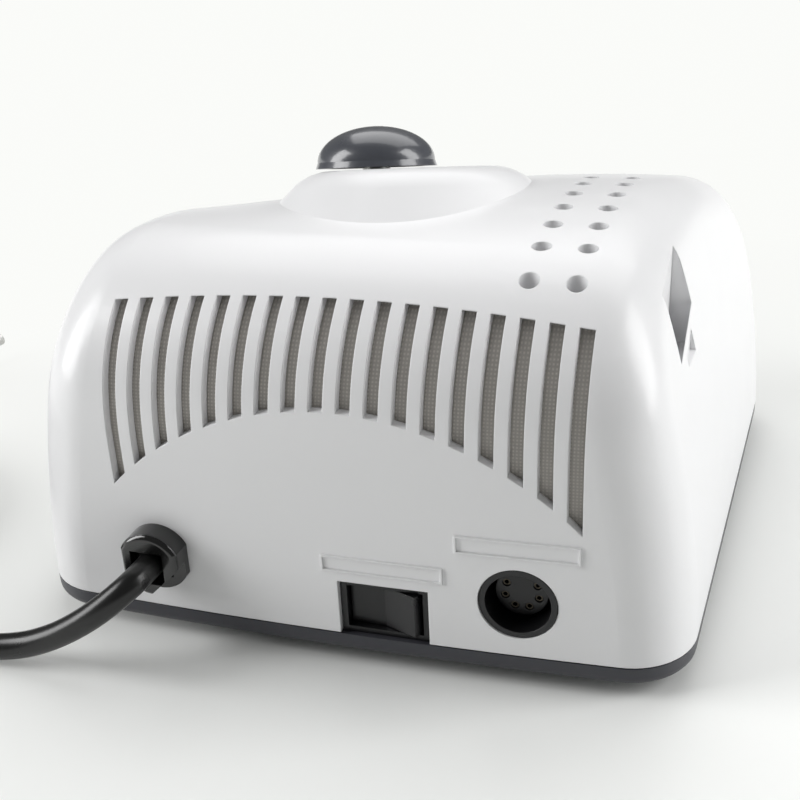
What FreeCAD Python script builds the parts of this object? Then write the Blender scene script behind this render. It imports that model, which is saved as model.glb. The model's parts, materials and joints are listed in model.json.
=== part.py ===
import FreeCAD, Part
import math
import os

from FreeCAD import Placement, Rotation, Vector

# A desktop nail drill machine, in millimetres.
# The rear face looks along +Y, the front along -Y, and Z = 0 is the table under the feet.

# Housing outline
housing_depth = 154.0
front_y = -housing_depth / 2
rear_y = housing_depth / 2
width_rear = 150.8
width_front = 171.5
side_curve = 276.0          # radius of the side walls, which curve in further up
side_widest_z = -5.2        # height at which they would stand upright
seam_z = 7.5                # parting line between the tray and the housing
seam_reveal = 0.3           # shadow line left open at the parting line
wall = 2.4
rear_wall_top = 49.5        # the rear wall is upright up to here
roof_radius = 1.262 * housing_depth
# Arcs of the side profile: radius, heading at the end, share of the roof's tilt in that heading
rear_arcs = ((55.5, 79.9, 0.0), (32.4, 50.9, 0.66), (37.0, 7.3, 1.0), (roof_radius, -15.5, 0.3))
front_nose_radius = 0.247 * housing_depth
rear_bulge_radius = 1264.0
front_bulge_radius = 700.0
crown_x = -50.5             # the roof is highest on this side
crown_radius = 4150.0
roof_tilt = 12.0            # degrees more fall to the front at 100 mm from the crown, as its square
shoulder_radius = 15.4
form_top = 105.0

# Tray
tray_bottom = 3.0
tray_floor = 2.4
tray_edge_radius = 2.0
lip_height = 2.5
lip_thickness = 1.4
lip_clearance = 0.15

# Feet and case screws
foot_radius = 6.5
foot_recess = 0.8
foot_inset = 22.0
screw_inset = 11.0
boss_radius = 4.2
boss_height = 24.0
pillar_height = 5.4
case_screw_radius = 1.5
case_screw_head_radius = 2.9
case_screw_head_height = 1.8
case_screw_length = 16.0
thread_clearance = 0.05
screw_clearance = 0.25

# Vent slots in the rear face
slot_count = 18
slot_pitch = 5.887
slot_width = 3.08
slot_centre_x = -2.0
slot_top_heights = (77.8, 80.2, 77.1)   # at the -X end, the middle and the +X end
slot_bottom_z = 60.7
slot_bottom_radius = 71.3
screen_gap = 0.35
screen_thickness = 0.8
screen_margin = 4.0

# Bit holes in the roof
bit_rows_x = (-39.0, -48.5)
bit_count = 7
bit_pitch = 11.45
bit_first_y = rear_y - 21.2
bit_fan = 0.036            # the rows spread towards the front, as a share over 50 mm
bit_hole_radius = 2.1
bit_well_wall = 1.2
bit_well_floor_z = 71.0

# Slot for a plug-in handpiece holder, cut straight down into the shoulder, and its catch groove
holder_inner_x = -64.2
holder_outer_x = -68.8
holder_front_y = rear_y - 52.0
holder_rear_y = rear_y - 30.5
holder_floor_z = 60.0
holder_wall = 1.6
catch_outer_x = -72.0
catch_front_y = rear_y - 46.0
catch_rear_y = rear_y - 36.5
catch_floor_z = 61.0
catch_rib = 0.6             # thin web left between the slot and the groove

# Speed knob and potentiometer, along an axis that leans to the front and a little to +X
knob_x = 11.2
knob_y = rear_y - 80.0
knob_lean = 15.0
knob_side_lean = 4.0
knob_radius = 15.2
knob_shoulder_radius = 14.7
knob_shoulder_height = 1.5
knob_height = 10.1
knob_gap = 0.6
knob_hollow_radius = 12.0
knob_hollow_depth = 2.2
pointer_width = 1.4
pointer_depth = 0.8
pedestal_shift = 9.0        # the mound's centre lies this far to the knob's -X side
pedestal_top_radius = 20.0
pedestal_rise = 4.9
pedestal_brow_radius = 14.0
pedestal_flank_slope = 45.0
pedestal_flank_length = 10.5
pedestal_cove_radius = 12.0
pedestal_end_slope = 15.0
nut_recess_radius = 8.0
nut_recess_depth = 2.5
pot_seat_depth = 4.5
pot_seat_radius = 11.0
pot_radius = 8.5
pot_height = 9.0
neck_radius = 3.5
neck_hole_clearance = 0.2
washer_radius = 6.0
washer_thickness = 0.5
nut_across_flats = 10.0
nut_thickness = 2.0
neck_beyond_nut = 0.4
shaft_radius = 3.0
shaft_clearance = 0.05
shaft_in_knob = 5.5
knob_turn_range = 300.0

# Rocker switches
switch_length = 20.1
switch_height = 13.7
switch_fit = 0.2
bezel_setback = 1.2
bezel_depth = 1.5
bezel_rim = 1.35
flange_margin = 1.8
flange_thickness = 1.5
switch_body_depth = 13.0
switch_body_inset = 0.6
switch_lug_length = 6.0
rocker_clearance = 0.2
rocker_pivot_depth = 3.0
rocker_top_angle = 20.0
rocker_bottom_angle = -25.0
rocker_valley = 1.2
rocker_tilt = 12.0
rocker_well_depth = 8.8
trunnion_radius = 1.0
trunnion_length = 0.8
trunnion_clearance = 0.08
mode_switch_x = -11.5

# Label frames on the rear face: centre x, centre z, width, height
label_frames = ((-11.5, 25.6, 26.8, 4.0), (-40.5, 33.9, 26.0, 4.2))
label_line = 0.5
label_proud = 0.3

# Foot control socket in the rear face
foot_socket_x = -40.6
foot_socket_z = 20.7
foot_socket_hole_radius = 8.45
socket_fit = 0.15
socket_ring = 1.3
socket_flange = 2.2
socket_flange_thickness = 1.4
socket_wall_gap = 0.45      # the flat flange stands off the curved wall
socket_depth = 14.0
socket_back = 1.5
insert_radius = 5.65
insert_recess = 4.6
contact_circle = 3.8
contact_count = 6
contact_radius = 0.8
contact_clearance = 0.1
contact_tail = 4.0
key_width = 2.2

# Front panel with its switches, socket and lamps
panel_width = 112.0
panel_height = 24.0
panel_z = 22.6
panel_thickness = 2.5
panel_setback = 4.0
panel_ledge = 3.0
panel_frame = 3.0
panel_ledge_thickness = 2.2
panel_clearance = 0.15
power_switch_x = 38.0
direction_switch_x = 8.0
hand_socket_x = -18.0
hand_socket_radius = 6.0
hand_socket_bore = 3.3
hand_socket_depth = 14.0
hand_socket_flange = 2.0
hand_contact_radius = 4.3
lamp_radius = 1.5
lamp_xs = (-44.5, -35.5)
lamp_length = 8.0

# Boards and electrical parts on the tray
board_thickness = 1.6
main_board_x = (-60.0, 2.0)
main_board_y = (front_y + 25.0, front_y + 97.0)
standoff_height = 5.0
standoff_radius = 3.5
board_screw_inset = 5.0
board_screw_radius = 1.25
board_screw_head = 2.4
core_width = 50.0
core_height = 42.0
core_stack = 26.0
core_x = 36.0
core_y = rear_y - 63.0
core_lift = 1.5
core_leg = 8.0
coil_overhang = 7.0
coil_gap = 0.3
bracket_foot = 8.4
bracket_thickness = 1.5

# Parts on the main board: x from and to, y from and to, from its front left corner, and height
sink_plate = (8.0, 38.0, 5.0, 7.5, 22.0)
sink_fin_count = 7
sink_fin_depth = 9.0
sink_fin_thickness = 1.5
transistor_block = (18.0, 28.0, 0.5, 5.0, 15.0)
rectifier_block = (40.0, 55.0, 12.0, 16.5, 14.0)
relay_block = (8.0, 23.0, 46.0, 65.0, 15.0)
terminal_box = (32.0, 52.0, 57.0, 65.0, 12.0)
terminal_count = 4
terminal_hole = 2.4
terminal_depth = 5.0
capacitor_places = ((12.0, 28.0), (27.0, 28.0))
capacitor_radius = 6.5
capacitor_height = 25.0
fuse_radius = 2.6
fuse_length = 20.0
fuse_place = (42.5, 48.0)
fuse_rise = 5.0             # height of its axis above the board
fuse_clip_length = 5.0
fuse_clip_width = 8.0
fuse_clip_height = 8.0
fuse_fit = 0.05

# Mains cord and its strain relief, a round bushing with two flats and a square hollow
cord_radius = 3.0
relief_x = 40.6
relief_z = 21.8
relief_hole_radius = 6.6
relief_fit = 0.15
relief_head_radius = 7.8
relief_head_half_width = 6.9
relief_head_depth = 5.6
relief_head_round = 1.3
relief_hollow = (-3.6, 4.2, -4.5, 3.5)      # x from and to, z from and to, from its centre
relief_hollow_depth = 4.6
relief_step = 5.0           # its lower corner stands back, cut at this distance from the centre
relief_base = 1.8
relief_collar = 1.2

# Points of the cord: x, distance behind the rear of the housing, z
cord_exit_points = (
    (40.6, 0.9, 21.8), (40.8, 7.0, 21.9), (42.6, 12.4, 20.6), (47.6, 15.2, 16.5),
    (54.4, 16.0, 11.5), (61.6, 16.2, 7.2), (69.6, 16.6, 4.0), (80.0, 18.0, 3.0), (100.0, 17.4, 3.2),
    (126.0, 17.6, 3.8), (153.0, 17.1, 4.3))
cord_tail_points = ((202.0, -43.0, 10.3), (201.6, -58.0, 7.9), (199.6, -73.0, 6.5), (196.0, -88.0, 6.5))
coil_turns = 2.875          # in each of two layers
coil_climb_turns = 0.5
coil_layers_pitch = 6.6
coil_mid_radius = 33.0
tie_thickness = 1.0
tie_width = 6.0
tie_gap = 0.25
plug_length = 34.0
plug_width = 27.0
plug_height = 13.0
pin_radius = 2.0
pin_length = 19.0
pin_spacing = 18.6

up = Vector(0, 0, 1)
rear = Vector(0, 1, 0)


def box(x0, x1, y0, y1, z0, z1):
    return Part.makeBox(x1 - x0, y1 - y0, z1 - z0, Vector(x0, y0, z0))


def rounded_box(x0, x1, y0, y1, z0, z1, radius, axis):
    """A box whose four edges along one axis are rounded."""
    solid = box(x0, x1, y0, y1, z0, z1)
    edges = [edge for edge in solid.Edges if abs(edge.tangentAt(edge.FirstParameter).dot(axis)) > 0.9]
    return solid.makeFillet(radius, edges)


def cylinder(radius, length, base, axis=up):
    return Part.makeCylinder(radius, length, base, axis)


def export(name, solids):
    """Write one node: a solid, or a group of separate solids."""
    shape = solids if isinstance(solids, Part.Shape) else Part.makeCompound(solids)
    shape = shape.removeSplitter()
    if len(shape.Solids) == 1:
        shape = shape.Solids[0]
    print(name, "solids", len(shape.Solids), "volume", round(shape.Volume, 1), "valid", shape.isValid())
    shape.exportStep(f"parts/{name}.step")


def rear_face_y(x):
    return rear_y - x * x / (2 * rear_bulge_radius)


def front_face_y(x):
    return front_y + x * x / (2 * front_bulge_radius)


def half_width(y, z):
    """Half the width of the housing at a depth and a height."""
    along = (rear_y - y) / housing_depth
    at_seam = (width_rear + (width_front - width_rear) * along) / 2
    return at_seam - side_sag(z) + side_sag(seam_z)


def side_sag(z):
    """How far the side walls have curved in at a height."""
    return side_curve - math.sqrt(side_curve ** 2 - (z - side_widest_z) ** 2)


def profile_heading(degrees):
    """Direction in the side profile: 90 is straight up, 0 is level to the front."""
    angle = math.radians(degrees)
    return Vector(0, -math.cos(angle), math.sin(angle))


def side_profile(x, inset):
    """Closed side profile of the housing at one station across its width."""
    below = seam_z - 30
    drop = (x - crown_x) ** 2 / (2 * crown_radius)
    tilt = roof_tilt * ((x - crown_x) / 100) ** 2
    foot = Vector(x, rear_face_y(x) - inset, below)
    point = Vector(x, foot.y, rear_wall_top - drop)
    edges = [Part.makeLine(foot, point)]
    now = 90.0
    for radius, level, share in rear_arcs:
        end = level - share * tilt
        arc, point = profile_arc(point, now, end, radius - inset)
        edges.append(arc)
        now = end
    nose = front_nose_radius - inset
    front = front_face_y(x) + inset
    reach = point.y - front - nose * (1 + math.sin(math.radians(now)))
    corner = point + profile_heading(now) * (reach / math.cos(math.radians(now)))
    edges.append(Part.makeLine(point, corner))
    arc, point = profile_arc(corner, now, -90.0, nose)
    edges.append(arc)
    toe = Vector(x, point.y, below)
    edges.append(Part.makeLine(point, toe))
    edges.append(Part.makeLine(toe, foot))
    return Part.Wire(edges)


def profile_arc(start, begin, end, radius):
    """Arc of the side profile that turns from one heading to another."""
    centre = start + profile_heading(begin - 90) * radius
    middle = centre - profile_heading((begin + end) / 2 - 90) * radius
    finish = centre - profile_heading(end - 90) * radius
    return Part.Arc(start, middle, finish).toShape(), finish


def side_bar(side, inset):
    """Round bar whose surface is one side wall, along the taper of the housing."""
    margin = 30.0
    taper = (width_front - width_rear) / 2 / housing_depth
    begin = Vector(side * half_width(rear_y + margin, side_widest_z), rear_y + margin, side_widest_z)
    outward = Vector(side, taper, 0).normalize()
    forward = Vector(side * taper, -1, 0).normalize()
    return cylinder(side_curve - inset, housing_depth + 2 * margin, begin - outward * side_curve, forward)


def housing_form(inset, bottom):
    """The housing's outer form, or the same form drawn in by an inset."""
    stations = (-100.0, -50.0, 0.0, 50.0, 100.0)
    lengthwise = Part.makeLoft([side_profile(x, inset) for x in stations], True, False)
    above = box(-housing_depth, housing_depth, -housing_depth, housing_depth, bottom, form_top)
    form = lengthwise.common(above).common(side_bar(-1, inset)).common(side_bar(1, inset))
    form = form.removeSplitter().Solids[0]
    shoulders = []
    for edge in form.Edges:
        ends = [vertex.Point for vertex in edge.Vertexes]
        on_side = all(abs(abs(p.x) - half_width(p.y, p.z) + inset) < 0.1 for p in ends)
        at_bottom = all(abs(p.z - bottom) < 0.01 for p in ends)
        if on_side and not at_bottom:
            shoulders.append(edge)
    return form.makeFillet(shoulder_radius - inset, shoulders)


def form_face(form, z):
    """Flat face where a form is cut at one height."""
    return Part.Face(form.slice(up, z)[0])


def roof_height(form, x, y):
    """Height of a form's top at one place."""
    return Part.makeLine(Vector(x, y, seam_z + 10), Vector(x, y, form_top)).common(form).BoundBox.ZMax


def knob_placement():
    """Frame on the knob's axis, with its origin on the roof."""
    lean = Rotation(Vector(0, 1, 0), knob_side_lean).multiply(Rotation(Vector(1, 0, 0), knob_lean))
    return Placement(Vector(knob_x, knob_y, knob_roof_z), lean)


def case_screw_places():
    places = []
    for side in (-1, 1):
        for y in (rear_y - 17.0, front_y + 17.0):
            places.append((side * (half_width(y, seam_z) - screw_inset), y))
    return places


def slot_bottom_end_z():
    """Height of the arc under the slots at the two ends of the row."""
    half_span = slot_pitch * slot_count / 2
    return slot_bottom_z - slot_bottom_radius + math.sqrt(slot_bottom_radius ** 2 - half_span ** 2)


def slot_cutter():
    """Upright slots whose ends follow two arcs across the rear face."""
    half_span = slot_pitch * slot_count / 2
    deep = rear_y - 45.0
    out = rear_y + 10.0
    strips = []
    for index in range(slot_count):
        x = slot_centre_x + (index - (slot_count - 1) / 2) * slot_pitch
        strips.append(box(x - slot_width / 2, x + slot_width / 2, deep, out, 20.0, 100.0))

    def three_points(left_z, middle_z, right_z):
        return [Vector(slot_centre_x + side * half_span, deep, z)
                for side, z in ((-1, left_z), (0, middle_z), (1, right_z))]

    low_end = slot_bottom_end_z()
    low = three_points(low_end, slot_bottom_z, low_end)
    high = three_points(*slot_top_heights)
    outline = Part.Wire([Part.Arc(*low).toShape(), Part.makeLine(low[2], high[2]),
                         Part.Arc(*reversed(high)).toShape(), Part.makeLine(high[0], low[0])])
    field = Part.Face(outline).extrude(rear * (out - deep))
    return Part.makeCompound(strips).common(field)


def bit_places():
    places = []
    for row_x in bit_rows_x:
        for index in range(bit_count):
            run = index * bit_pitch
            places.append((row_x * (1 + bit_fan * run / 50.0), bit_first_y - run))
    return places


def holder_pit(grow):
    """Block of the holder slot, grown for the walls around it."""
    return box(holder_outer_x - grow, holder_inner_x + grow, holder_front_y - grow, holder_rear_y + grow,
               holder_floor_z - grow, form_top)


def catch_groove():
    """Shallow groove beside the holder slot, in the flank."""
    return box(catch_outer_x, holder_outer_x - catch_rib, catch_front_y, catch_rear_y, catch_floor_z, form_top)


def label_frame(x, z, width, height):
    """A thin raised rectangle that lies on the rear face."""
    ring = box(-width / 2, width / 2, -1.0, label_proud, -height / 2, height / 2)
    ring = ring.cut(box(-width / 2 + label_line, width / 2 - label_line, -2.0, 2.0,
                        -height / 2 + label_line, height / 2 - label_line))
    turn = Rotation(up, math.degrees(-x / rear_bulge_radius))
    ring.Placement = Placement(Vector(x, rear_face_y(x), z), turn)
    return ring


def panel_block(margin, y0, y1):
    return box(-panel_width / 2 - margin, panel_width / 2 + margin, y0, y1,
               panel_z - panel_height / 2 - margin, panel_z + panel_height / 2 + margin)


def panel_front_y():
    return front_y + panel_setback


def panel_back_y():
    return panel_front_y() + panel_thickness


def knob_pedestal():
    """Mound that carries the knob: flat top, rounded brow, straight flank and a cove at its foot."""
    point = Vector(pedestal_top_radius, 0, pedestal_rise)
    brow, flank_top = slope_arc(point, 0.0, pedestal_flank_slope, pedestal_brow_radius)
    slope = math.radians(pedestal_flank_slope)
    flank_foot = flank_top + Vector(math.cos(slope), 0, -math.sin(slope)) * pedestal_flank_length
    cove, foot = slope_arc(flank_foot, pedestal_flank_slope, pedestal_end_slope, pedestal_cove_radius)
    top = Vector(0, 0, pedestal_rise)
    base = Vector(0, 0, foot.z)
    edges = [Part.makeLine(top, point), brow, Part.makeLine(flank_top, flank_foot), cove,
             Part.makeLine(foot, base), Part.makeLine(base, top)]
    mound = Part.Face(Part.Wire(edges)).revolve(Vector(0, 0, 0), up, 360)
    mound.Placement = knob_placement().multiply(Placement(Vector(-pedestal_shift, 0, 0), Rotation()))
    return mound


def slope_arc(start, begin, end, radius):
    """Arc outward from an axis whose fall goes from one slope to another, in degrees."""
    bend = radius if end > begin else -radius

    def at(slope):
        angle = math.radians(slope)
        return Vector(math.sin(angle), 0, math.cos(angle)) * bend

    centre = start - at(begin)
    finish = centre + at(end)
    return Part.Arc(start, centre + at((begin + end) / 2), finish).toShape(), finish


def upper_housing(outer, inner):
    shell = outer.cut(inner)
    ledge_back = panel_back_y() + panel_ledge_thickness
    additions = [panel_block(panel_frame, front_y - 5, ledge_back).common(outer)]
    seat = cylinder(pot_seat_radius, pot_seat_depth + pedestal_rise, Vector(0, 0, -pot_seat_depth))
    seat.Placement = knob_placement()
    pedestal = knob_pedestal()
    additions += [pedestal.cut(inner), seat]
    for x, y in case_screw_places():
        boss = cylinder(boss_radius, boss_height, Vector(x, y, tray_bottom + tray_floor + pillar_height))
        side = math.copysign(1, x)
        rib = box(min(x, x + side * 14), max(x, x + side * 14), y - 1.5, y + 1.5,
                  tray_bottom + tray_floor + pillar_height + 1, boss.BoundBox.ZMax)
        additions += [boss, rib.common(outer)]
    wells = []
    for x, y in bit_places():
        wells.append(cylinder(bit_hole_radius + bit_well_wall, 40.0,
                              Vector(x, y, bit_well_floor_z - bit_well_wall)))
    pockets = wells + [holder_pit(holder_wall)]
    additions += [pocket.common(outer) for pocket in pockets]
    additions += [label_frame(*frame) for frame in label_frames]
    shell = shell.fuse(additions)
    cuts = [slot_cutter().cut(pockets), holder_pit(0), catch_groove()]
    cuts += [cylinder(bit_hole_radius, 40.0, Vector(x, y, bit_well_floor_z)) for x, y in bit_places()]
    cuts.append(box(mode_switch_x - switch_length / 2, mode_switch_x + switch_length / 2,
                    rear_y - 12.0, rear_y + 5.0, seam_z - 1, seam_z + switch_height))
    cuts.append(cylinder(foot_socket_hole_radius, 12.0, Vector(foot_socket_x, rear_y - 8, foot_socket_z), rear))
    cuts.append(cylinder(relief_hole_radius, 12.0, Vector(relief_x, rear_y - 8, relief_z), rear))
    cuts.append(panel_block(panel_clearance, front_y - 10, panel_back_y()))
    cuts.append(panel_block(-panel_ledge, front_y - 10, front_y + 30))
    recess = cylinder(nut_recess_radius, 10.0, Vector(0, 0, pedestal_rise - nut_recess_depth))
    recess.Placement = knob_placement()
    passage = cylinder(neck_radius + neck_hole_clearance, 20.0, Vector(0, 0, -12.0))
    passage.Placement = knob_placement()
    cuts += [recess, passage]
    for x, y in case_screw_places():
        pilot = case_screw_radius + thread_clearance
        cuts.append(cylinder(pilot, boss_height - 4.0, Vector(x, y, tray_bottom + tray_floor + pillar_height)))
    return shell.cut(cuts)


def foot_places():
    places = []
    for side in (-1, 1):
        for y in (rear_y - foot_inset, front_y + foot_inset):
            places.append((side * (half_width(y, seam_z) - foot_inset), y))
    return places


def board_screw_places():
    x0, x1 = main_board_x
    y0, y1 = main_board_y
    xs = (x0 + board_screw_inset, x1 - board_screw_inset)
    ys = (y0 + board_screw_inset, y1 - board_screw_inset)
    return [(x, y) for x in xs for y in ys]


def floor_top():
    return tray_bottom + tray_floor


def core_screw_places():
    reach = core_width / 2 + bracket_foot / 2 + bracket_thickness
    return [(core_x - reach, core_y), (core_x + reach, core_y)]


def base_tray(outer, inner, lip_outer, lip_inner):
    cut_z = seam_z + 1.0
    tray = form_face(outer, cut_z).extrude(Vector(0, 0, tray_bottom - seam_z))
    tray.translate(Vector(0, 0, seam_z - cut_z))
    rim = [edge for edge in tray.Edges if all(abs(v.Z - tray_bottom) < 0.01 for v in edge.Vertexes)]
    tray = tray.makeFillet(tray_edge_radius, rim)
    height = seam_z + lip_height - floor_top()
    hollow = form_face(inner, cut_z).extrude(Vector(0, 0, height))
    hollow.translate(Vector(0, 0, floor_top() - cut_z))
    lip = form_face(lip_outer, cut_z).extrude(Vector(0, 0, height))
    lip = lip.cut(form_face(lip_inner, cut_z).extrude(Vector(0, 0, height)))
    lip.translate(Vector(0, 0, floor_top() - cut_z))
    panel_half = panel_width / 2 + panel_frame + 1.0
    clear = [box(-panel_half, panel_half, front_y - 5, front_y + 14, floor_top(), 30.0)]
    clear.append(box(mode_switch_x - switch_length / 2 - flange_margin - 1,
                     mode_switch_x + switch_length / 2 + flange_margin + 1,
                     rear_y - 12, rear_y + 5, floor_top(), 30.0))
    lip = lip.cut(clear)
    solids = [lip]
    for x, y in case_screw_places():
        solids.append(cylinder(boss_radius, pillar_height + 0.5, Vector(x, y, floor_top() - 0.5)))
    for x, y in board_screw_places():
        solids.append(cylinder(standoff_radius, standoff_height + 0.5, Vector(x, y, floor_top() - 0.5)))
    tray = tray.cut(hollow).fuse(solids)
    cuts = []
    for x, y in case_screw_places():
        head_room = floor_top() + 0.6 - tray_bottom
        cuts.append(cylinder(case_screw_head_radius + screw_clearance, head_room + 1, Vector(x, y, tray_bottom - 1)))
        cuts.append(cylinder(case_screw_radius + screw_clearance, 20.0, Vector(x, y, tray_bottom)))
    for x, y in foot_places():
        cuts.append(cylinder(foot_radius + screw_clearance, foot_recess + 1, Vector(x, y, tray_bottom - 1)))
    for x, y in board_screw_places():
        cuts.append(cylinder(board_screw_radius + thread_clearance, standoff_height, Vector(x, y, floor_top() + 0.5)))
    for x, y in core_screw_places():
        cuts.append(cylinder(case_screw_radius + thread_clearance, 10.0, Vector(x, y, tray_bottom - 1)))
    return tray.cut(cuts)


def rubber_feet():
    return [cylinder(foot_radius, tray_bottom + foot_recess, Vector(x, y, 0)) for x, y in foot_places()]


def pan_screw(x, y, z, shank, head, head_height, length, way):
    """A screw whose head lies at z and whose shank runs up (way 1) or down (way -1)."""
    axis = Vector(0, 0, way)
    top = cylinder(head, head_height, Vector(x, y, z), axis)
    body = cylinder(shank, length + head_height, Vector(x, y, z), axis)
    return top.fuse(body).removeSplitter()


def case_screws():
    z = floor_top() + 0.6 - case_screw_head_height
    return [pan_screw(x, y, z, case_screw_radius, case_screw_head_radius, case_screw_head_height,
                      case_screw_length, 1) for x, y in case_screw_places()]


def dust_screen(front_side, back_side):
    """A thin sheet that follows the inside of the rear wall behind the slots."""
    half_span = slot_pitch * slot_count / 2 + screen_margin
    region = box(slot_centre_x - half_span, slot_centre_x + half_span, rear_y - 32.0, rear_y + 5,
                 slot_bottom_end_z() - screen_margin, max(slot_top_heights) + screen_margin / 2)
    room = bit_hole_radius + bit_well_wall + screen_gap
    wells = [cylinder(room, 40.0, Vector(x, y, bit_well_floor_z - bit_well_wall - screen_gap))
             for x, y in bit_places()]
    return front_side.cut(back_side).common(region).cut(wells)


def speed_knob():
    knob_base = pedestal_rise + knob_gap
    shoulder_rise = knob_height - knob_shoulder_height
    dome = Part.Ellipse(Vector(0, 0, 0), knob_shoulder_radius, shoulder_rise)
    quarter = Part.Arc(dome, 0, math.pi / 2).toShape()
    quarter.rotate(Vector(0, 0, 0), Vector(1, 0, 0), 90)
    quarter.translate(Vector(0, 0, knob_base + knob_shoulder_height))
    corners = [Vector(0, 0, knob_base), Vector(knob_radius, 0, knob_base),
               Vector(knob_shoulder_radius, 0, knob_base + knob_shoulder_height)]
    wire = Part.Wire([Part.makeLine(corners[0], corners[1]), Part.makeLine(corners[1], corners[2]), quarter,
                      Part.makeLine(Vector(0, 0, knob_base + knob_height), corners[0])])
    knob = Part.Face(wire).revolve(Vector(0, 0, 0), up, 360)
    hollow = cylinder(knob_hollow_radius, knob_hollow_depth + 1, Vector(0, 0, knob_base - 1))
    hub_base = knob_base + knob_hollow_depth
    bore = cylinder(shaft_radius + shaft_clearance, shaft_in_knob + shaft_clearance, Vector(0, 0, hub_base))
    groove = box(-pointer_width / 2, pointer_width / 2, -knob_radius - 2, -knob_radius + pointer_depth,
                 knob_base + 1.5, knob_base + knob_shoulder_height + 1.5)
    knob = knob.cut([hollow, bore, groove])
    knob.Placement = knob_placement()
    return knob


def potentiometer():
    """Can with its threaded neck, shaft, washer and nut, on the knob's axis."""
    recess_floor = pedestal_rise - nut_recess_depth
    neck_top = recess_floor + washer_thickness + nut_thickness + neck_beyond_nut
    can = cylinder(pot_radius, pot_height, Vector(0, 0, -pot_seat_depth - pot_height))
    neck = cylinder(neck_radius, neck_top + pot_seat_depth, Vector(0, 0, -pot_seat_depth))
    lugs = [box(x - 1, x + 1, pot_radius - 3, pot_radius + 6, -pot_seat_depth - 5.0, -pot_seat_depth - 4.2)
            for x in (-5.0, 0.0, 5.0)]
    shaft_foot = -pot_seat_depth - pot_height + 1.0
    shaft_top = pedestal_rise + knob_gap + knob_hollow_depth + shaft_in_knob
    bore = cylinder(shaft_radius + shaft_clearance, 30.0, Vector(0, 0, shaft_foot - shaft_clearance))
    can = can.fuse([neck] + lugs).cut(bore)
    shaft = cylinder(shaft_radius, shaft_top - shaft_foot, Vector(0, 0, shaft_foot))
    washer = cylinder(washer_radius, washer_thickness, Vector(0, 0, recess_floor))
    washer = washer.cut(cylinder(neck_radius + thread_clearance, 10, Vector(0, 0, recess_floor - 1)))
    corner = nut_across_flats / math.sqrt(3)
    corners = [Vector(corner * math.cos(math.radians(60 * i)), corner * math.sin(math.radians(60 * i)),
                      recess_floor + washer_thickness) for i in range(7)]
    nut = Part.Face(Part.makePolygon(corners)).extrude(up * nut_thickness)
    nut = nut.cut(cylinder(neck_radius + thread_clearance, 10, Vector(0, 0, recess_floor)))
    pieces = (can, shaft, washer, nut)
    for piece in pieces:
        piece.Placement = knob_placement()
    return pieces


def rocker_switch():
    """Switch body and rocker: X along the rocker, Y out of the panel, Z along the pivot."""
    half_length = switch_length / 2 - switch_fit
    half_height = switch_height / 2 - switch_fit
    body = box(-half_length, half_length, -bezel_depth - 0.5, 0, -half_height, half_height)
    flange_back = -bezel_depth - flange_thickness
    flange = box(-half_length - flange_margin, half_length + flange_margin, flange_back, -bezel_depth,
                 -half_height - flange_margin / 2, half_height + flange_margin)
    inset = switch_body_inset
    case = box(-half_length + inset, half_length - inset, flange_back - switch_body_depth, flange_back + 0.5,
               -half_height + inset, half_height - inset)
    lugs = [box(x - 0.4, x + 0.4, flange_back - switch_body_depth - switch_lug_length,
                flange_back - switch_body_depth + 0.5, -2.4, 2.4) for x in (-6.0, 0.0, 6.0)]
    body = body.fuse([flange, case] + lugs)
    well_length = half_length - bezel_rim
    well_height = half_height - bezel_rim
    body = body.cut(box(-well_length, well_length, -rocker_well_depth, 5, -well_height, well_height))
    pivot = Vector(0, -rocker_pivot_depth, 0)
    seat_radius = trunnion_radius + trunnion_clearance
    seat_half = well_height + trunnion_length
    body = body.cut(cylinder(seat_radius, 2 * seat_half, pivot - up * seat_half))
    reach = well_length - rocker_clearance
    top = math.radians(rocker_top_angle)
    low = math.radians(rocker_bottom_angle)

    def rim_point(angle, side):
        return pivot + Vector(side * reach * math.cos(angle), reach * math.sin(angle), 0)

    edges = []
    for side in (1, -1):
        first, last = (low, top) if side == 1 else (top, low)
        edges.append(Part.Arc(rim_point(first, side), rim_point((low + top) / 2, side),
                              rim_point(last, side)).toShape())
        if side == 1:
            valley = Vector(0, rim_point(top, 1).y - rocker_valley, 0)
            edges.append(Part.makeLine(rim_point(top, 1), valley))
            edges.append(Part.makeLine(valley, rim_point(top, -1)))
    edges.append(Part.makeLine(rim_point(low, -1), rim_point(low, 1)))
    half = well_height - rocker_clearance
    rocker = Part.Face(Part.Wire(edges)).extrude(up * (2 * half))
    rocker.translate(up * -half)
    rod_half = seat_half - rocker_clearance
    rocker = rocker.fuse(cylinder(trunnion_radius, 2 * rod_half, pivot - up * rod_half)).removeSplitter()
    rocker.rotate(pivot, up, -rocker_tilt)
    return body, rocker


def place_rocker_switch(x, face_y, z, turned):
    """Both pieces of a switch at a place on the rear wall, or turned round on the front panel."""
    pieces = rocker_switch()
    turn = Rotation(up, 180 if turned else 0)
    for piece in pieces:
        piece.Placement = Placement(Vector(x, face_y, z), turn).multiply(piece.Placement)
    return pieces


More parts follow.
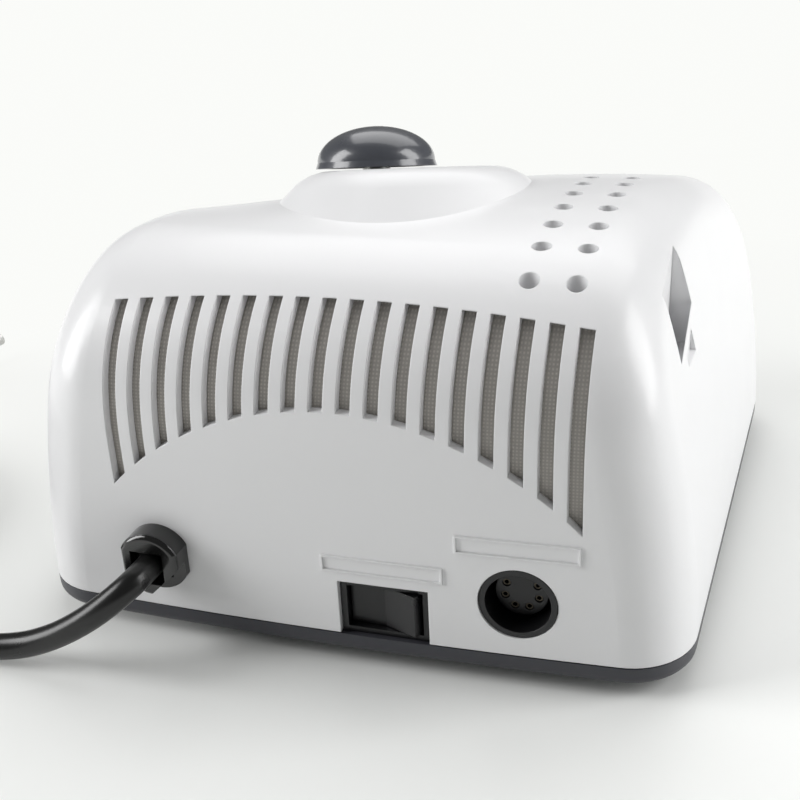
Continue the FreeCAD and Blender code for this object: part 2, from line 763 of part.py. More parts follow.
def foot_socket():
    """Round six-way socket: shell, insulator and contact sleeves."""
    face_y = rear_face_y(foot_socket_x) - socket_fit
    wall_inside = rear_face_y(foot_socket_x) - wall
    place = Vector(foot_socket_x, face_y - socket_depth, foot_socket_z)
    outer_radius = foot_socket_hole_radius - socket_fit
    shell = cylinder(outer_radius, socket_depth, place, rear)
    flange_y = wall_inside - socket_wall_gap - socket_flange_thickness
    shell = shell.fuse(cylinder(outer_radius + socket_flange, socket_flange_thickness,
                                Vector(foot_socket_x, flange_y, foot_socket_z), rear))
    shell = shell.cut(cylinder(outer_radius - socket_ring, socket_depth,
                               place + rear * socket_back, rear))
    key = box(foot_socket_x - key_width / 2, foot_socket_x + key_width / 2,
              place.y + socket_back, face_y - 1.0,
              foot_socket_z + insert_radius + 0.4, foot_socket_z + outer_radius - 0.5)
    shell = shell.fuse(key)
    insert_length = socket_depth - socket_back - insert_recess
    insert = cylinder(insert_radius, insert_length, place + rear * socket_back, rear)
    sleeves = []
    holes = []
    for index in range(contact_count):
        angle = math.radians(-90 + (index - (contact_count - 1) / 2) * 48.0)
        at = Vector(foot_socket_x + contact_circle * math.cos(angle), 0,
                    foot_socket_z + contact_circle * math.sin(angle))
        start = Vector(at.x, place.y - contact_tail, at.z)
        length = contact_tail + socket_depth - insert_recess - 0.3
        sleeve = cylinder(contact_radius, length, start, rear)
        sleeves.append(sleeve.cut(cylinder(contact_radius - 0.3, 5.0, start + rear * (length - 4.0), rear)))
        holes.append(cylinder(contact_radius + contact_clearance, 30.0, start, rear))
    return shell.cut(holes), insert.cut(holes), sleeves


def front_panel():
    plate = box(-panel_width / 2, panel_width / 2, panel_front_y(), panel_back_y(),
                panel_z - panel_height / 2, panel_z + panel_height / 2)
    cuts = []
    for x in (power_switch_x, direction_switch_x):
        cuts.append(box(x - switch_length / 2, x + switch_length / 2, front_y - 5, front_y + 20,
                        panel_z - switch_height / 2, panel_z + switch_height / 2))
    hole = Vector(hand_socket_x, front_y - 5, panel_z)
    cuts.append(cylinder(hand_socket_radius + socket_fit, 30.0, hole, rear))
    for x in lamp_xs:
        cuts.append(cylinder(lamp_radius + socket_fit, 30.0, Vector(x, front_y - 5, panel_z), rear))
    return plate.cut(cuts)


def hand_socket():
    """Round socket that the handpiece's plug goes into: shell and inner contact."""
    face = Vector(hand_socket_x, panel_front_y() - 0.6, panel_z)
    shell = cylinder(hand_socket_radius, hand_socket_depth, face, rear)
    behind = Vector(hand_socket_x, panel_back_y() + 0.2, panel_z)
    shell = shell.fuse(cylinder(hand_socket_radius + hand_socket_flange, 1.5, behind, rear))
    shell = shell.cut(cylinder(hand_socket_bore, hand_socket_depth - 1.5, face, rear))
    shell = shell.cut(cylinder(hand_contact_radius, 4.0, face + rear * 7.0, rear))
    contact = cylinder(hand_contact_radius - 0.1, 3.8, face + rear * 7.1, rear)
    contact = contact.cut(cylinder(hand_socket_bore + 0.1, 10.0, face + rear * 5.0, rear))
    return shell, contact


def control_board():
    """Small upright board behind the panel that carries the lamps."""
    y = panel_front_y() + lamp_length - 1.0
    return box(lamp_xs[0] - 7.0, lamp_xs[-1] + 7.0, y, y + board_thickness, panel_z - 8.0, panel_z + 8.0)


def indicator_lamps():
    lamps = []
    for x in lamp_xs:
        tip = Vector(x, panel_front_y() - 0.4, panel_z)
        lens = cylinder(lamp_radius, lamp_length - 0.6, tip, rear)
        collar = cylinder(lamp_radius + 0.4, 1.0, Vector(x, panel_front_y() + lamp_length - 2.0, panel_z), rear)
        lamps.append(lens.fuse(collar).removeSplitter())
    return lamps


def main_board():
    z = floor_top() + standoff_height
    board = box(main_board_x[0], main_board_x[1], main_board_y[0], main_board_y[1], z, z + board_thickness)
    holes = [cylinder(board_screw_radius + screw_clearance, 10, Vector(x, y, z - 2)) for x, y in board_screw_places()]
    return board.cut(holes)


def board_top():
    return floor_top() + standoff_height + board_thickness


def board_screws():
    return [pan_screw(x, y, board_top() + 1.6, board_screw_radius, board_screw_head, 1.6, 6.0, -1)
            for x, y in board_screw_places()]


def on_board(block):
    """A plain block that stands on the main board."""
    x0, x1, y0, y1, height = block
    corner = Vector(main_board_x[0], main_board_y[0], board_top())
    return Part.makeBox(x1 - x0, y1 - y0, height, corner + Vector(x0, y0, 0))


def heat_sink():
    """Comb of upright fins on the board."""
    x0, x1, y0, y1, height = sink_plate
    pitch = (x1 - x0 - sink_fin_thickness) / (sink_fin_count - 1)
    fins = [on_board((x0 + i * pitch, x0 + i * pitch + sink_fin_thickness, y1 - 0.5, y1 + sink_fin_depth, height))
            for i in range(sink_fin_count)]
    return on_board(sink_plate).fuse(fins).removeSplitter()


def terminal_block():
    """Block with a row of wire holes in its front."""
    x0, x1, y0, y1, height = terminal_box
    pitch = (x1 - x0) / terminal_count
    holes = []
    for index in range(terminal_count):
        middle = x0 + (index + 0.5) * pitch
        hole = on_board((middle - terminal_hole / 2, middle + terminal_hole / 2, y0 - 1, y0 + terminal_depth,
                         terminal_hole))
        hole.translate(up * (height - terminal_hole) / 2)
        holes.append(hole)
    return on_board(terminal_box).cut(holes)


def capacitors():
    """Two upright cans."""
    return [cylinder(capacitor_radius, capacitor_height,
                     Vector(main_board_x[0] + x, main_board_y[0] + y, board_top())) for x, y in capacitor_places]


def fuse_and_holder():
    """Glass fuse and the two clips that hold its ends."""
    x, y = fuse_place
    start = Vector(main_board_x[0] + x - fuse_length / 2, main_board_y[0] + y, board_top() + fuse_rise)
    along = Vector(1, 0, 0)
    tube = cylinder(fuse_radius, fuse_length, start, along)
    seat = cylinder(fuse_radius + fuse_fit, fuse_length + 2 * fuse_fit, start - along * fuse_fit, along)
    clips = []
    for side in (-1, 1):
        middle = x + side * fuse_length / 2
        clip = on_board((middle - fuse_clip_length / 2, middle + fuse_clip_length / 2,
                         y - fuse_clip_width / 2, y + fuse_clip_width / 2, fuse_clip_height))
        clips.append(clip.cut(seat))
    return tube, clips


def transformer():
    """Laminated core, winding on its middle leg, and the strap that holds it down."""
    z0 = floor_top() + core_lift
    x0 = core_x - core_width / 2
    x1 = core_x + core_width / 2
    y0 = core_y - core_stack / 2
    y1 = core_y + core_stack / 2
    core = box(x0, x1, y0, y1, z0, z0 + core_height)
    window = (core_width - 4 * core_leg) / 2
    for left in (x0 + core_leg, x1 - core_leg - window):
        core = core.cut(box(left, left + window, y0 - 1, y1 + 1, z0 + core_leg, z0 + core_height - core_leg))
    coil = rounded_box(x0 + core_leg + coil_gap, x1 - core_leg - coil_gap, y0 - coil_overhang,
                       y1 + coil_overhang, z0 + core_leg + coil_gap, z0 + core_height - core_leg - coil_gap,
                       3.0, up)
    coil = coil.cut(box(core_x - core_leg - coil_gap, core_x + core_leg + coil_gap, y0 - coil_gap,
                        y1 + coil_gap, z0, z0 + core_height))
    t = bracket_thickness
    half = core_stack / 2 - 5.0
    strap = box(x0 - t, x1 + t, core_y - half, core_y + half, floor_top(), z0 + core_height + t)
    strap = strap.cut(box(x0, x1, core_y - half - 1, core_y + half + 1, floor_top() + t, z0 + core_height))
    strap = strap.cut(box(x0 + 4, x1 - 4, core_y - half - 1, core_y + half + 1, floor_top() - 1, floor_top() + t + 1))
    feet = [box(x0 - t - bracket_foot, x0, core_y - half, core_y + half, floor_top(), floor_top() + t),
            box(x1, x1 + t + bracket_foot, core_y - half, core_y + half, floor_top(), floor_top() + t)]
    strap = strap.fuse(feet)
    holes = [cylinder(case_screw_radius + screw_clearance, 10, Vector(x, y, floor_top() - 2))
             for x, y in core_screw_places()]
    return core, coil, strap.cut(holes)


def transformer_screws():
    z = floor_top() + bracket_thickness + 1.6
    return [pan_screw(x, y, z, case_screw_radius, 2.6, 1.6, 3.4, -1) for x, y in core_screw_places()]


def strain_relief():
    """Moulded bushing: head with two flats, square hollow and a stepped corner, neck and inner collar."""
    outward = Vector(0, 1, 0)
    head = cylinder(relief_head_radius, relief_head_depth, Vector(0, 0, 0), outward)
    head = head.common(box(-relief_head_half_width, relief_head_half_width, -1, 20, -20, 20))
    rim = [edge for edge in head.Edges if all(abs(v.Y - relief_head_depth) < 0.01 for v in edge.Vertexes)]
    head = head.makeFillet(relief_head_round, rim)
    x0, x1, z0, z1 = relief_hollow
    hollow = box(x0, x1, relief_head_depth - relief_hollow_depth, relief_head_depth + 1, z0, z1)
    step = box(-20.0, 20.0, relief_base, relief_head_depth + 1, -20.0, -relief_step)
    step.rotate(Vector(0, 0, 0), outward, 45)
    head = head.cut([hollow, step])
    neck = cylinder(relief_hole_radius - relief_fit, wall + 4.0, Vector(0, -wall - 4.0, 0), outward)
    collar = cylinder(relief_hole_radius + relief_collar, 2.0, Vector(0, -wall - 3.0, 0), outward)
    relief = head.fuse([neck, collar]).removeSplitter()
    turn = Rotation(up, math.degrees(-relief_x / rear_bulge_radius))
    sagitta = relief_head_radius ** 2 / (2 * rear_bulge_radius)
    relief.Placement = Placement(Vector(relief_x, rear_face_y(relief_x) + sagitta, relief_z), turn)
    return relief


def tangent_arc(start, direction, end):
    """Arc that leaves a point along a direction and ends at another point."""
    chord = end - start
    side = chord - direction * chord.dot(direction)
    side.normalize()
    radius = chord.dot(chord) / (2 * chord.dot(side))
    half = math.atan2(chord.dot(side), chord.dot(direction))
    middle = start + (direction * math.sin(half) + side * (1 - math.cos(half))) * radius
    return Part.Arc(start, middle, end).toShape(), radius


def biarc(start, leaving, end, arriving):
    """Two arcs that join two points with given directions."""
    chord = end - start
    both = leaving + arriving
    a = 2 * (leaving.dot(arriving) - 1)
    b = -2 * chord.dot(both)
    c = chord.dot(chord)
    reach = -c / b if abs(a) < 1e-9 else (-b - math.sqrt(b * b - 4 * a * c)) / (2 * a)
    joint = (start + leaving * reach + end - arriving * reach) * 0.5
    first, _ = tangent_arc(start, leaving, joint)
    turned = joint - start
    along = turned * (2 * turned.dot(leaving) / turned.dot(turned)) - leaving
    second, _ = tangent_arc(joint, along, end)
    return [first, second]


def cord_tube(name, points):
    """Round tube along straight runs that are joined by tangent arcs."""
    route = list(points)
    edges = []
    at = route[0]
    radii = []
    for before, corner, after in zip(route, route[1:], route[2:]):
        back = before - corner
        ahead = after - corner
        shorter = min(back.Length, ahead.Length)
        half_turn = (math.pi - back.getAngle(ahead)) / 2
        setback = 0.45 * shorter
        radii.append(setback / math.tan(half_turn))
        entry = corner + back.normalize() * setback
        leave = corner + ahead.normalize() * setback
        edges.append(Part.makeLine(at, entry))
        arc, _ = tangent_arc(entry, back * -1, leave)
        edges.append(arc)
        at = leave
    edges.append(Part.makeLine(at, route[-1]))
    path = Part.Wire(edges)
    first = (route[1] - route[0]).normalize()
    ring = Part.Wire(Part.makeCircle(cord_radius, route[0], first))
    tube = path.makePipeShell([ring], True, False)
    expected = math.pi * cord_radius ** 2 * path.Length
    print(name, "length", round(path.Length, 1), "radii", [round(radius, 1) for radius in radii],
          "volume share", round(tube.Volume / expected, 4))
    return tube


def behind_housing(points):
    """Cord points as vectors, measured from the rear of the housing."""
    return [Vector(x, rear_y + y, z) for x, y, z in points]


def coil_centre():
    exit_end = behind_housing(cord_exit_points)[-1]
    return Vector(exit_end.x + 2 * cord_radius, exit_end.y - coil_outer_radius(), exit_end.z)


def coil_outer_radius():
    return coil_mid_radius + coil_layers_pitch * coil_turns / 2


def coil_total_turns():
    return 2 * coil_turns + coil_climb_turns


def coil_point(turns):
    """Centre line of the put-away coil after a number of turns, and its direction."""
    last = coil_total_turns()
    middle = last / 2
    step = 1e-4

    def place(t):
        radius = coil_outer_radius() - coil_layers_pitch * (middle - abs(t - middle))
        climb = min(1.0, max(0.0, (t - coil_turns) / coil_climb_turns))
        rise = coil_layers_pitch * climb * climb * (3 - 2 * climb)
        angle = math.pi / 2 - 2 * math.pi * t
        return coil_centre() + Vector(radius * math.cos(angle), radius * math.sin(angle), rise)

    behind = place(max(0.0, turns - step))
    ahead = place(min(last, turns + step))
    return place(turns), (ahead - behind).normalize()


def cord_coil():
    last = coil_total_turns()
    steps = round(last * 4)
    marks = [coil_point(last * index / steps) for index in range(steps + 1)]
    lead_in = marks[0][0] - marks[0][1] * (2 * cord_radius)
    lead_out = marks[-1][0] + marks[-1][1] * (2 * cord_radius)
    edges = [Part.makeLine(lead_in, marks[0][0])]
    for (start, leaving), (end, arriving) in zip(marks, marks[1:]):
        edges += biarc(start, leaving, end, arriving)
    edges.append(Part.makeLine(marks[-1][0], lead_out))
    path = Part.Wire(edges)
    ring = Part.Wire(Part.makeCircle(cord_radius, lead_in, marks[0][1]))
    tube = path.makePipeShell([ring], True, False)
    expected = math.pi * cord_radius ** 2 * path.Length
    print("cord_coil length", round(path.Length, 1), "volume share", round(tube.Volume / expected, 4),
          "least gap", round(coil_gap_to_itself(), 2))
    return tube, lead_in, lead_out, marks[0][1], marks[-1][1]


def coil_gap_to_itself():
    """Least gap between turns, measured between points on the centre line."""
    count = 720
    last = coil_total_turns()
    points = [coil_point(last * index / count)[0] for index in range(count + 1)]
    apart = int(count / last / 3)
    least = min(points[i].distanceToPoint(points[j])
                for i in range(count + 1) for j in range(i + apart, count + 1))
    return least - 2 * cord_radius


def cord_tie():
    """Band round all the turns, on the far side of the coil."""
    radii = [(coil_point(turn + 0.5)[0] - coil_centre()).y for turn in range(int(coil_total_turns()))]
    room = cord_radius + tie_gap
    y0 = coil_centre().y + min(radii) - room
    y1 = coil_centre().y + max(radii) + room
    z0 = coil_centre().z - room
    z1 = coil_centre().z + coil_layers_pitch + room
    x = coil_centre().x
    t = tie_thickness
    along = Vector(1, 0, 0)
    band = rounded_box(x - tie_width / 2, x + tie_width / 2, y0 - t, y1 + t, z0 - t, z1 + t, 2.0, along)
    return band.cut(rounded_box(x - tie_width, x + tie_width, y0, y1, z0, z1, 1.0, along))


def plug(start, direction):
    """Flat two-pin plug lying on the table, its pins pointing away from the cord."""
    body = rounded_box(0, plug_length, -plug_width / 2, plug_width / 2, 0, plug_height, 5.0, up)
    pins = []
    for side in (-1, 1):
        pins.append(cylinder(pin_radius, pin_length, Vector(plug_length, side * pin_spacing / 2, plug_height / 2),
                             Vector(1, 0, 0)))
    angle = math.degrees(math.atan2(direction.y, direction.x))
    place = Placement(Vector(start.x, start.y, 0), Rotation(up, angle))
    body.Placement = place
    for pin in pins:
        pin.Placement = place.multiply(pin.Placement)
    return body, pins


os.makedirs("parts", exist_ok=True)

outer_form = housing_form(0.0, seam_z + seam_reveal)
knob_roof_z = round(roof_height(outer_form, knob_x, knob_y), 2)
print("knob axis starts at", knob_x, knob_y, knob_roof_z)
inner_form = housing_form(wall, seam_z - 5.0)
lip_outer_form = housing_form(wall + lip_clearance, seam_z - 5.0)
lip_inner_form = housing_form(wall + lip_clearance + lip_thickness, seam_z - 5.0)
screen_front = housing_form(wall + screen_gap, seam_z - 5.0)
screen_back = housing_form(wall + screen_gap + screen_thickness, seam_z - 5.0)

export("base_tray", base_tray(outer_form, inner_form, lip_outer_form, lip_inner_form))
export("upper_housing", upper_housing(outer_form, inner_form))
export("rubber_feet", rubber_feet())
export("base_screws", case_screws())
export("dust_screen", dust_screen(screen_front, screen_back))

export("speed_knob", speed_knob())
pot_can, pot_axle, pot_ring, pot_hex = potentiometer()
export("pot_body", pot_can)
export("pot_shaft", pot_axle)
export("pot_washer", pot_ring)
export("pot_nut", pot_hex)

mode_z = seam_z + switch_height / 2
mode_body, mode_rocker = place_rocker_switch(mode_switch_x, rear_face_y(mode_switch_x) - bezel_setback, mode_z, False)
export("mode_switch_body", mode_body)
export("mode_rocker", mode_rocker)
panel_bezel_y = panel_front_y() + bezel_setback
power_body, power_rocker = place_rocker_switch(power_switch_x, panel_bezel_y, panel_z, True)
export("power_switch_body", power_body)
export("power_rocker", power_rocker)
direction_body, direction_rocker = place_rocker_switch(direction_switch_x, panel_bezel_y, panel_z, True)
export("direction_switch_body", direction_body)
export("direction_rocker", direction_rocker)

socket_shell, socket_insert, socket_contacts = foot_socket()
export("foot_socket_shell", socket_shell)
export("foot_socket_insert", socket_insert)
export("foot_socket_contacts", socket_contacts)

export("front_panel", front_panel())
hand_shell, hand_contact = hand_socket()
export("handpiece_socket_shell", hand_shell)
export("handpiece_socket_contact", hand_contact)
export("control_board", control_board())
export("indicator_lamps", indicator_lamps())

export("main_board", main_board())
export("board_screws", board_screws())
export("heat_sink", heat_sink())
export("power_transistor", on_board(transistor_block))
export("smoothing_capacitors", capacitors())
export("rectifier", on_board(rectifier_block))
export("relay", on_board(relay_block))
export("terminal_block", terminal_block())
fuse, fuse_clips = fuse_and_holder()
export("fuse_holder", fuse_clips)
export("fuse", fuse)
core, winding, strap = transformer()
export("transformer_core", core)
export("transformer_coil", winding)
export("transformer_bracket", strap)
export("transformer_screws", transformer_screws())

export("strain_relief", strain_relief())
coil_tube, coil_in, coil_out, way_in, way_out = cord_coil()
export("mains_cord", cord_tube("mains_cord", behind_housing(cord_exit_points[:-1]) + [coil_in]))
export("cord_coil", coil_tube)
export("cord_tie", cord_tie())
tail = behind_housing(cord_tail_points)
export("plug_cord", cord_tube("plug_cord", [coil_out] + tail))
plug_shell, plug_blades = plug(tail[-1], tail[-1] - tail[-2])
export("plug_body", plug_shell)
export("plug_pins", plug_blades)
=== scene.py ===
"""Looks of the desktop nail drill machine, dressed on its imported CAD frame."""
import json
import math

import bpy
from mathutils import Matrix, Vector


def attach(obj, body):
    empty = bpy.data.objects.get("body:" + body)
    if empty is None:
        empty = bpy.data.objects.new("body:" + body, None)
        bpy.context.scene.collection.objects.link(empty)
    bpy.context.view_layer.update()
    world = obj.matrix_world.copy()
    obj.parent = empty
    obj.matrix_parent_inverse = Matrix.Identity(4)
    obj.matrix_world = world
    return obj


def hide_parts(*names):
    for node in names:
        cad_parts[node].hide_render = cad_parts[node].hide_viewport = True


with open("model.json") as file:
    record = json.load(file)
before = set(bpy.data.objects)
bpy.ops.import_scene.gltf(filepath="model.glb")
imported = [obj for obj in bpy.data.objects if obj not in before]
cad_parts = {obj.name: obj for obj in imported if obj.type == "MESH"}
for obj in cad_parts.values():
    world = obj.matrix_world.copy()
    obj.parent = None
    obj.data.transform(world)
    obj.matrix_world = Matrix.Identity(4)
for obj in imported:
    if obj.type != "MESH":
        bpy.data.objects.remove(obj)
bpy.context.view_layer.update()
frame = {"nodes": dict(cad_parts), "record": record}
nodes = frame["nodes"]

MM = 0.001

# Cord route, the same points as in the CAD source, in millimetres
CORD_RADIUS = 3.0
EXIT_POINTS = (
    (40.6, 77.9, 21.8), (40.8, 84.0, 21.9), (42.6, 89.4, 20.6), (47.6, 92.2, 16.5),
    (54.4, 93.0, 11.5), (61.6, 93.2, 7.2), (69.6, 93.6, 4.0), (80.0, 95.0, 3.0), (100.0, 94.4, 3.2),
    (126.0, 94.6, 3.8))
COIL_START = (153.0, 94.1, 4.3)
TAIL_POINTS = ((202.0, 34.0, 10.3), (201.6, 19.0, 7.9), (199.6, 4.0, 6.5), (196.0, -11.0, 6.5))
COIL_TURNS = 2.875
COIL_CLIMB_TURNS = 0.5
COIL_PITCH = 6.6
COIL_MID_RADIUS = 33.0
COIL_POINTS_PER_TURN = 16
CORD_SIDE_STEPS = 6
CORD_ORDER = 3
CORD_LENGTH_STEPS = 8

# Shared by the materials: noise scales are cells per metre, spreads are shares of a finish's own gloss
COAT_ROUGHNESS = 0.12
EDGE_SAMPLES = 6
MIX_FACTOR, MIX_FIRST, MIX_SECOND, MIX_RESULT = 0, 6, 7, 2      # the colour sockets of a Mix node
TINT_SCALE = 22.0
GLOSS_SCALE = 90.0
GLOSS_SPREAD = (0.88, 1.14)
PATCH_SCALE = 160.0
PATCH_SHADE = 0.86
STREAK_SPREAD = (0.7, 1.4)
STRIPE_GLOSS_SCALE = 300.0
STRIPE_GLOSS_SPREAD = (0.85, 1.2)
THREAD_SCALE = 420.0
THREAD_SHADES = (0.8, 1.12)
COPPER_SCALE = 160.0
COPPER_WIDTH = 0.03
COPPER_TINT = 1.15
GLASS_SMEAR_SCALE = 600.0
GLASS_ROUGHNESS = (0.03, 0.1)


# Materials

def new_material(name, colour, roughness, metallic=0.0, coat=0.0, specular=0.5):
    """A principled material and the parts that the surface nodes are linked to."""
    made = bpy.data.materials.new(name)
    made.use_nodes = True
    shader = made.node_tree.nodes["Principled BSDF"]
    shader.inputs["Base Color"].default_value = (*colour, 1.0)
    shader.inputs["Roughness"].default_value = roughness
    shader.inputs["Metallic"].default_value = metallic
    shader.inputs["Coat Weight"].default_value = coat
    shader.inputs["Coat Roughness"].default_value = COAT_ROUGHNESS
    shader.inputs["Specular IOR Level"].default_value = specular
    made.diffuse_color = (*colour, 1.0)
    return made, made.node_tree, shader


def object_space(tree):
    return tree.nodes.new("ShaderNodeTexCoord").outputs["Object"]


def noise(tree, scale, detail=3.0, stretch=(1.0, 1.0, 1.0)):
    """Noise over object space, scale in cells per metre."""
    mapping = tree.nodes.new("ShaderNodeMapping")
    mapping.inputs["Scale"].default_value = stretch
    made = tree.nodes.new("ShaderNodeTexNoise")
    made.inputs["Scale"].default_value = scale
    made.inputs["Detail"].default_value = detail
    tree.links.new(object_space(tree), mapping.inputs["Vector"])
    tree.links.new(mapping.outputs["Vector"], made.inputs["Vector"])
    return made.outputs["Fac"]


def ranged(tree, value, low, high, from_low=0.3, from_high=0.7):
    """Map a noise value onto a range."""
    made = tree.nodes.new("ShaderNodeMapRange")
    made.inputs["From Min"].default_value = from_low
    made.inputs["From Max"].default_value = from_high
    made.inputs["To Min"].default_value = low
    made.inputs["To Max"].default_value = high
    tree.links.new(value, made.inputs["Value"])
    return made.outputs["Result"]


def blend_colours(tree, factor, first, second):
    made = tree.nodes.new("ShaderNodeMix")
    made.data_type = "RGBA"
    made.inputs[MIX_FIRST].default_value = (*first, 1.0)
    made.inputs[MIX_SECOND].default_value = (*second, 1.0)
    tree.links.new(factor, made.inputs[MIX_FACTOR])
    return made.outputs[MIX_RESULT]


def combine(tree, operation, first, second):
    """One number out of two, by a Math node."""
    made = tree.nodes.new("ShaderNodeMath")
    made.operation = operation
    tree.links.new(first, made.inputs[0])
    tree.links.new(second, made.inputs[1])
    return made.outputs[0]


def spread_roughness(tree, shader, pattern, roughness, spread):
    """Uneven gloss about a finish's own roughness."""
    low, high = (roughness * share for share in spread)
    tree.links.new(ranged(tree, pattern, low, high), shader.inputs["Roughness"])


def add_bump(tree, shader, height, strength, distance, edge=0.0):
    """Bump from a height, over edges softened by a small radius in metres."""
    bump = tree.nodes.new("ShaderNodeBump")
    bump.inputs["Strength"].default_value = strength
    bump.inputs["Distance"].default_value = distance
    tree.links.new(height, bump.inputs["Height"])
    if edge > 0:
        soft = tree.nodes.new("ShaderNodeBevel")
        soft.samples = EDGE_SAMPLES
        soft.inputs["Radius"].default_value = edge
        tree.links.new(soft.outputs["Normal"], bump.inputs["Normal"])
    tree.links.new(bump.outputs["Normal"], shader.inputs["Normal"])


def shade(colour, factor):
    return tuple(min(1.0, channel * factor) for channel in colour)


def moulded(name, colour, roughness, grain=2500.0, depth=0.00002, strength=0.25, drift=0.04, edge=0.0003,
            coat=0.0):
    """Injection-moulded plastic: fine skin, faint drift of colour and uneven gloss."""
    made, tree, shader = new_material(name, colour, roughness, coat=coat)
    broad = ranged(tree, noise(tree, TINT_SCALE, 4.0), 0.0, 1.0)
    tint = blend_colours(tree, broad, shade(colour, 1 - drift), shade(colour, 1 + drift))
    tree.links.new(tint, shader.inputs["Base Color"])
    spread_roughness(tree, shader, noise(tree, GLOSS_SCALE, 5.0), roughness, GLOSS_SPREAD)
    add_bump(tree, shader, noise(tree, grain, 2.0), strength, depth, edge)
    return made


def metal(name, colour, roughness, stretch=(1.0, 1.0, 12.0), grain=1400.0):
    """Plated or brushed metal with streaks and slightly dull patches."""
    made, tree, shader = new_material(name, colour, roughness, metallic=1.0)
    patches = ranged(tree, noise(tree, PATCH_SCALE, 4.0), 0.0, 1.0)
    tint = blend_colours(tree, patches, shade(colour, PATCH_SHADE), colour)
    tree.links.new(tint, shader.inputs["Base Color"])
    streaks = noise(tree, grain, 3.0, stretch)
    spread_roughness(tree, shader, streaks, roughness, STREAK_SPREAD)
    add_bump(tree, shader, streaks, 0.2, 0.00002, 0.00015)
    return made


def wave_stripes(tree, scale, axis):
    made = tree.nodes.new("ShaderNodeTexWave")
    made.bands_direction = axis
    made.inputs["Scale"].default_value = scale
    tree.links.new(object_space(tree), made.inputs["Vector"])
    return made.outputs["Fac"]


def striped(name, dark, light, roughness, scale, axis, depth=0.0001, metallic=0.0):
    """Stacked sheets or wound wire: fine stripes along one axis."""
    made, tree, shader = new_material(name, dark, roughness, metallic=metallic)
    stripes = wave_stripes(tree, scale, axis)
    tree.links.new(blend_colours(tree, stripes, dark, light), shader.inputs["Base Color"])
    spread_roughness(tree, shader, noise(tree, STRIPE_GLOSS_SCALE), roughness, STRIPE_GLOSS_SPREAD)
    add_bump(tree, shader, stripes, 0.5, depth)
    return made


def fibre_sheet(name, colour):
    """Thin woven dust screen: two sets of threads with small gaps of shade."""
    made, tree, shader = new_material(name, colour, 0.75)
    across, along = (wave_stripes(tree, THREAD_SCALE, axis) for axis in "XZ")
    weave = combine(tree, "MULTIPLY", across, along)
    dark, light = (shade(colour, factor) for factor in THREAD_SHADES)
    tint = blend_colours(tree, weave, dark, light)
    tree.links.new(tint, shader.inputs["Base Color"])
    add_bump(tree, shader, weave, 0.4, 0.0001)
    return made


def circuit_board(name, mask, copper):
    """Solder mask over faint copper runs."""
    made, tree, shader = new_material(name, mask, 0.35)
    runs = tree.nodes.new("ShaderNodeTexBrick")
    runs.inputs["Scale"].default_value = COPPER_SCALE
    runs.inputs["Mortar Size"].default_value = COPPER_WIDTH
    runs.inputs["Color1"].default_value = (*mask, 1.0)
    runs.inputs["Color2"].default_value = (*shade(mask, COPPER_TINT), 1.0)
    runs.inputs["Mortar"].default_value = (*copper, 1.0)
    tree.links.new(object_space(tree), runs.inputs["Vector"])
    tree.links.new(runs.outputs["Color"], shader.inputs["Base Color"])
    add_bump(tree, shader, runs.outputs["Fac"], 0.3, 0.00003)
    return made


def clear_glass(name):
    made, tree, shader = new_material(name, (0.9, 0.93, 0.93), 0.05)
    shader.inputs["Transmission Weight"].default_value = 0.9
    smears = ranged(tree, noise(tree, GLASS_SMEAR_SCALE), *GLASS_ROUGHNESS)
    tree.links.new(smears, shader.inputs["Roughness"])
    return made


finishes = {
    "white_abs": moulded("white_abs", (0.82, 0.82, 0.83), 0.34, drift=0.008, edge=0.00035, coat=0.15),
    "grey_abs": moulded("grey_abs", (0.045, 0.046, 0.055), 0.42, grain=1800.0, depth=0.00004, strength=0.4),
    "knob_grey": moulded("knob_grey", (0.06, 0.064, 0.076), 0.3, grain=1800.0, depth=0.00003, strength=0.4,
                         coat=0.7),
    "black_plastic": moulded("black_plastic", (0.008, 0.008, 0.009), 0.3, grain=2200.0),
    "panel_grey": moulded("panel_grey", (0.2, 0.2, 0.21), 0.45),
    "cord_pvc": moulded("cord_pvc", (0.007, 0.007, 0.007), 0.3, grain=900.0, depth=0.00006, strength=0.35,
                        edge=0.0),
    "foot_rubber": moulded("foot_rubber", (0.03, 0.03, 0.03), 0.8, grain=1500.0, strength=0.5),
    "screen_fibre": fibre_sheet("screen_fibre", (0.58, 0.55, 0.51)),
    "zinc_steel": metal("zinc_steel", (0.62, 0.62, 0.6), 0.35),
    "core_steel": striped("core_steel", (0.2, 0.2, 0.21), (0.34, 0.34, 0.35), 0.5, 320.0, "Y", metallic=0.8),
    # The socket contacts' brass is darkened far below its own tone: painted shade of the deep socket holes
    "contact_brass": metal("contact_brass", (0.13, 0.115, 0.09), 0.45),
    "coil_tape": striped("coil_tape", (0.6, 0.45, 0.08), (0.78, 0.62, 0.14), 0.5, 120.0, "Z"),
    "board_green": circuit_board("board_green", (0.03, 0.14, 0.05), (0.06, 0.2, 0.07)),
    "sink_aluminium": metal("sink_aluminium", (0.72, 0.72, 0.74), 0.4, stretch=(1.0, 12.0, 1.0)),
    "capacitor_sleeve": moulded("capacitor_sleeve", (0.02, 0.03, 0.1), 0.25),
    "relay_blue": moulded("relay_blue", (0.03, 0.12, 0.4), 0.35),
    "terminal_green": moulded("terminal_green", (0.05, 0.35, 0.15), 0.4),
    "fuse_glass": clear_glass("fuse_glass"),
    "lamp_red": moulded("lamp_red", (0.6, 0.03, 0.02), 0.15, coat=0.6),
}
slot_of_node = {part["node"]: part["material_slot"] for part in frame["record"]["subparts"]}
glossier = {"strain_relief": moulded("relief_nylon", (0.006, 0.006, 0.006), 0.16, grain=900.0, coat=0.5)}
for name, node in nodes.items():
    node.data.materials.clear()
    node.data.materials.append(glossier.get(name, finishes[slot_of_node[name]]))


